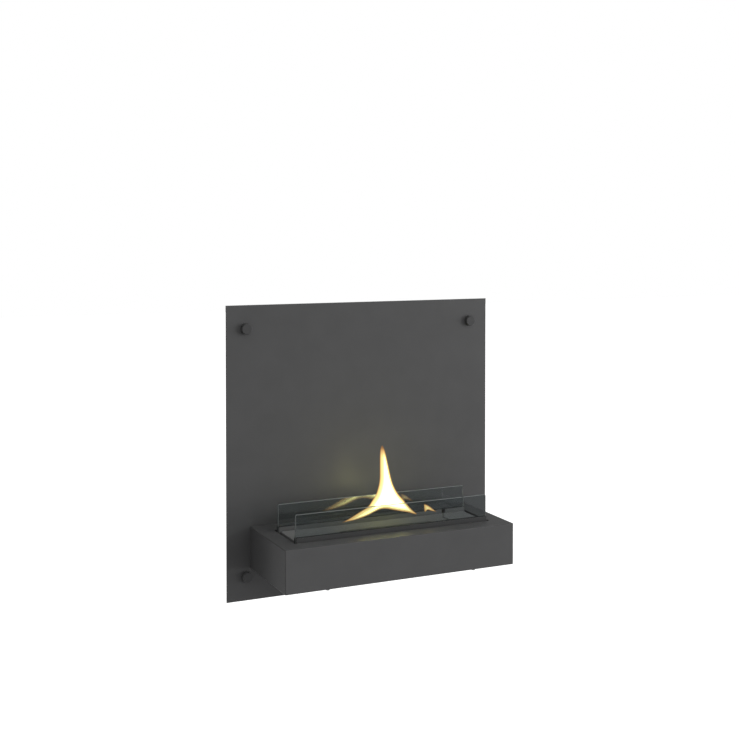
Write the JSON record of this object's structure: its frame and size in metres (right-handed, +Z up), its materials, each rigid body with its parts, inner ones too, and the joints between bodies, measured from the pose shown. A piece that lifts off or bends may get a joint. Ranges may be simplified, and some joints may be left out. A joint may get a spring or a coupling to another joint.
{
  "type": "wall-mounted bioethanol fireplace",
  "caption": "Square dark grey wall panel with a shallow projecting burner box, a slotted burner with a sliding snuffer, and low glass panes along the opening.",
  "frame": {"origin": "on the wall plane, in the middle of the four wall fixings, level with the panel's centre", "axes": "+X to the right as seen from the room, +Y into the wall, +Z up"},
  "size_m": [0.6, 0.222, 0.6],
  "materials": {
    "powder_coat": "matt anthracite powder coat with a fine texture",
    "cap_coat": "satin anthracite coat",
    "barrel_steel": "turned steel, satin",
    "zinc_steel": "zinc-plated steel",
    "bracket_steel": "plain galvanised sheet",
    "channel_coat": "folded sheet with a satin black heat-proof coat",
    "gasket": "black heat-proof strip",
    "burner_coat": "folded sheet with a satin anthracite heat-proof coat",
    "tank_steel": "pressed stainless steel",
    "ceramic_fibre": "off-white ceramic fibre",
    "screen_steel": "expanded stainless sheet",
    "knob_black": "black phenolic, satin",
    "clear_glass": "clear toughened glass with ground edges"
  },
  "bodies": {
    "frame": {"back_panel": "powder_coat", "standoff_barrels": "barrel_steel", "standoff_caps": "cap_coat", "housing_shell": "powder_coat", "housing_floor": "powder_coat", "housing_bolts": "zinc_steel", "housing_nuts": "zinc_steel", "floor_screws": "zinc_steel", "left_cradle": "bracket_steel", "right_cradle": "bracket_steel", "front_glass_channel": "channel_coat", "rear_glass_channel": "channel_coat", "front_glass_gasket": "gasket", "rear_glass_gasket": "gasket"},
    "burner": {"burner_lid": "burner_coat", "burner_tank": "tank_steel", "fibre_pad": "ceramic_fibre", "wick_screen": "screen_steel", "left_slide_guide": "tank_steel", "right_slide_guide": "tank_steel"},
    "snuffer": {"snuffer_plate": "tank_steel", "knob_stem": "burner_coat", "knob": "knob_black"},
    "front_pane": {"front_glass": "clear_glass"},
    "rear_pane": {"rear_glass": "clear_glass"}
  },
  "joints": [
    {"name": "burner_lift", "type": "slide", "parent": "frame", "child": "burner", "axis": [0, 0, 1], "range_m": [0, 0.06]},
    {"name": "snuffer_slide", "type": "slide", "parent": "burner", "child": "snuffer", "axis": [0, -1, 0], "range_m": [0, 0.028]},
    {"name": "front_glass_lift", "type": "slide", "parent": "frame", "child": "front_pane", "axis": [0, 0, 1], "range_m": [0, 0.03]},
    {"name": "rear_glass_lift", "type": "slide", "parent": "frame", "child": "rear_pane", "axis": [0, 0, 1], "range_m": [0, 0.03]}
  ]
}
